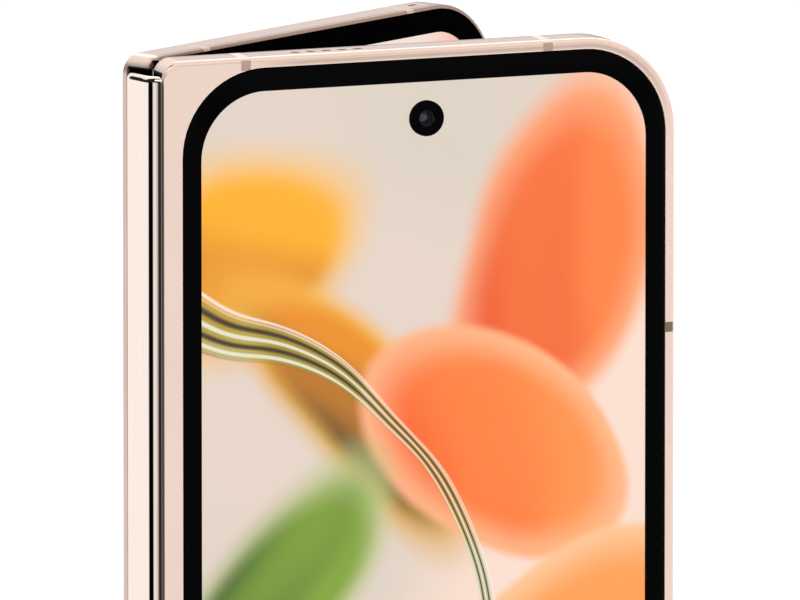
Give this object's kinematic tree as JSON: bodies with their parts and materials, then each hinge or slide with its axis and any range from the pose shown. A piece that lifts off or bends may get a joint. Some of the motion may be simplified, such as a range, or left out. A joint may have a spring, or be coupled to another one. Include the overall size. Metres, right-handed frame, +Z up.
{
  "type": "foldable smartphone",
  "caption": "Pocket phone that folds like a book: outer screen on the cover half, large folding inner screen, geared hinge inside a polished spine.",
  "frame": {"origin": "middle of the flat bottom edge of the cover half, half way through its thickness", "axes": "+Z up along the fold axes, +X across the cover half away from its hinge edge, +Y from the cover half's own screen through its thickness towards the camera half"},
  "size_m": [0.0777, 0.0466, 0.1552],
  "materials": {
    "frame_metal": "satin anodised, pale pinkish beige",
    "antenna_plastic": "matt, a little darker than the metal",
    "screen_glass": "clear polished cover glass",
    "black_trim": "black printed border and trim",
    "outer_screen": "lit screen with an abstract picture",
    "inner_screen": "lit folding screen with an abstract picture",
    "lens_black": "black camera housing",
    "lens_glass": "dark tinted glass",
    "battery_foil": "dark foil pouch",
    "circuit_board": "green solder mask",
    "shield_metal": "plain pressed can",
    "steel": "plain steel",
    "dark_plastic": "moulded housing",
    "mesh_metal": "fine dark mesh",
    "magnet": "nickel plated",
    "hinge_steel": "sintered steel",
    "polished_metal": "mirror polished, warm pinkish gold",
    "spring_steel": "hardened spring strip",
    "flex_copper": "amber film with copper tracks",
    "pinion_brass": "cut brass",
    "back_glass": "satin etched glass over a pale pinkish beige coat",
    "flash_lens": "milky diffuser",
    "coil_copper": "wound copper on a dark sheet"
  },
  "bodies": {
    "cover_half": {"cover_frame": "frame_metal", "cover_antenna_bands": "antenna_plastic", "cover_glass": "screen_glass", "cover_gasket": "black_trim", "cover_display": "outer_screen", "cover_camera": "lens_black", "cover_battery": "battery_foil", "cover_board": "circuit_board", "cover_shields": "shield_metal", "cover_board_screws": "steel", "top_speaker": "dark_plastic", "speaker_mesh": "mesh_metal", "vibration_motor": "steel", "cover_magnets": "magnet", "sim_socket": "shield_metal", "cover_plate": "steel", "cover_inner_display": "inner_screen", "cover_inner_trim": "black_trim", "cover_arms": "hinge_steel", "cover_arm_screws": "steel"},
    "sim_tray": {"sim_tray": "frame_metal"},
    "spine": {"spine_cover": "polished_metal", "hinge_bases": "hinge_steel", "base_screws": "steel", "torque_clips": "spring_steel", "fold_display": "inner_screen", "fold_plate": "steel", "hinge_flexes": "flex_copper"},
    "cover_pinions": {"cover_pinions": "pinion_brass"},
    "camera_pinions": {"camera_pinions": "pinion_brass"},
    "camera_half": {"camera_frame": "frame_metal", "camera_antenna_bands": "antenna_plastic", "back_glass": "back_glass", "camera_island": "frame_metal", "island_glass": "lens_glass", "wide_camera": "lens_black", "tele_camera": "lens_black", "ultrawide_camera": "lens_black", "flash_module": "flash_lens", "main_board": "circuit_board", "board_shields": "shield_metal", "main_board_screws": "steel", "main_battery": "battery_foil", "charging_coil": "coil_copper", "loudspeaker": "dark_plastic", "bottom_board": "circuit_board", "port_shell": "shield_metal", "port_tongue": "dark_plastic", "inner_camera": "lens_black", "camera_plate": "steel", "camera_inner_display": "inner_screen", "camera_inner_trim": "black_trim", "camera_arms": "hinge_steel", "camera_arm_screws": "steel", "camera_magnets": "magnet", "switch_strip": "flex_copper"},
    "power_button": {"power_button": "frame_metal"},
    "volume_rocker": {"volume_rocker": "frame_metal"}
  },
  "joints": [
    {"name": "spine_fold", "type": "hinge", "parent": "cover_half", "child": "spine", "pos_m": [-0.0364, 0.0015, 0], "axis": [0, 0, 1], "range_deg": [-15, 75], "deforming": ["fold_display", "fold_plate", "hinge_flexes"]},
    {"name": "camera_fold", "type": "hinge", "parent": "spine", "child": "camera_half", "pos_m": [-0.03702, 0.00382, 0], "axis": [0, 0, 1], "range_deg": [-15, 75]},
    {"name": "cover_pinion_spin", "type": "hinge", "parent": "spine", "child": "cover_pinions", "pos_m": [-0.03815, 0.0015, 0], "axis": [0, 0, 1], "range_deg": [-21, 101]},
    {"name": "camera_pinion_spin", "type": "hinge", "parent": "spine", "child": "camera_pinions", "pos_m": [-0.03854, 0.00295, 0], "axis": [0, 0, 1], "range_deg": [-101, 21]},
    {"name": "sim_slide", "type": "slide", "parent": "cover_half", "child": "sim_tray", "axis": [1, 0, 0], "range_m": [0, 0.02]},
    {"name": "power_press", "type": "slide", "parent": "camera_half", "child": "power_button", "axis": [-0.866, -0.5, 0], "range_m": [0, 0.00025], "stiffness_N_per_m": 3000},
    {"name": "volume_rock", "type": "hinge", "parent": "camera_half", "child": "volume_rocker", "pos_m": [0.02453, 0.04109, 0.07201], "axis": [-0.5, 0.866, 0], "range_deg": [-1.2, 1.2], "stiffness_Nm_per_rad": 0.4}
  ],
  "couplings": [
    {"joint": "camera_fold", "follows": "spine_fold", "ratio": 1},
    {"joint": "cover_pinion_spin", "follows": "spine_fold", "ratio": 1.3333},
    {"joint": "camera_pinion_spin", "follows": "spine_fold", "ratio": -1.3333}
  ]
}
